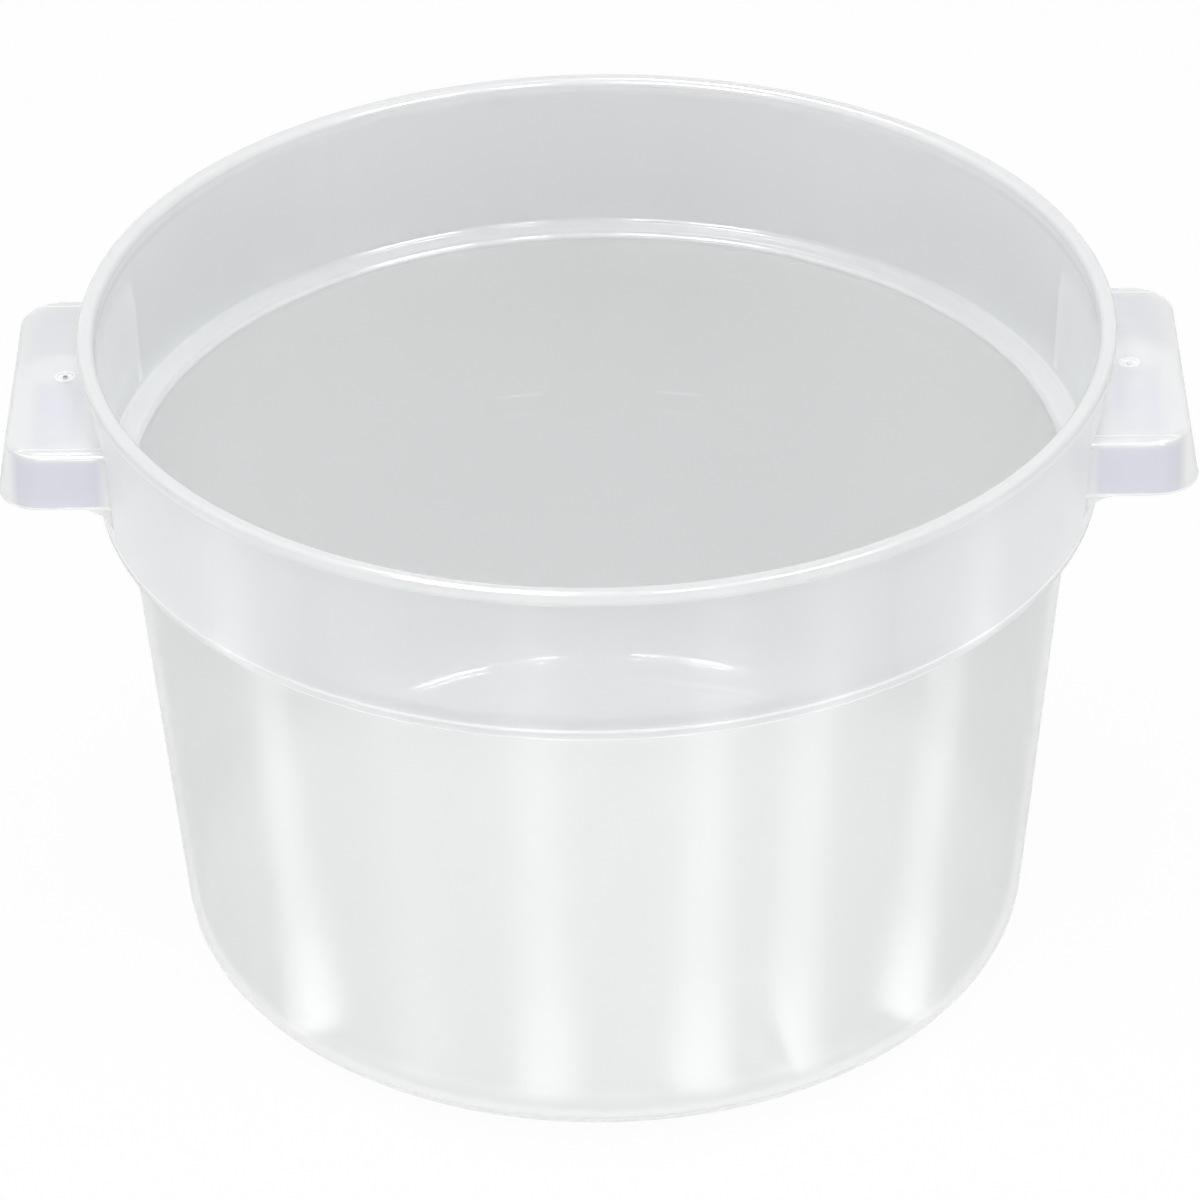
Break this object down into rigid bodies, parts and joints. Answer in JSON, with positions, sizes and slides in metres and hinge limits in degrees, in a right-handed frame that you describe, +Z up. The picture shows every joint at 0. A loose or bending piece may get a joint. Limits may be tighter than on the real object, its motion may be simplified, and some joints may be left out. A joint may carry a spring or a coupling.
{
  "type": "dough proofing container",
  "caption": "Round translucent plastic tub for proofing dough, with a stepped collar, a thick lid-seat rim and hollow carry handles on opposite sides.",
  "frame": {"origin": "centre of the tub's footprint on the surface it stands on", "axes": "+Z up through the open top, +X towards one handle; the other handle is towards -X"},
  "size_m": [0.3828, 0.333, 0.226],
  "materials": {
    "body_plastic": "satin translucent polypropylene, faint scuffs",
    "rim_plastic": "smooth semi-gloss translucent polypropylene, thicker and milkier",
    "handle_plastic": "smooth semi-gloss translucent polypropylene with a cool tint"
  },
  "bodies": {
    "root": {"base": "body_plastic", "lower_wall": "body_plastic", "shoulder": "body_plastic", "collar": "body_plastic", "rim": "rim_plastic", "handle_left": "handle_plastic", "handle_right": "handle_plastic"}
  },
  "joints": []
}
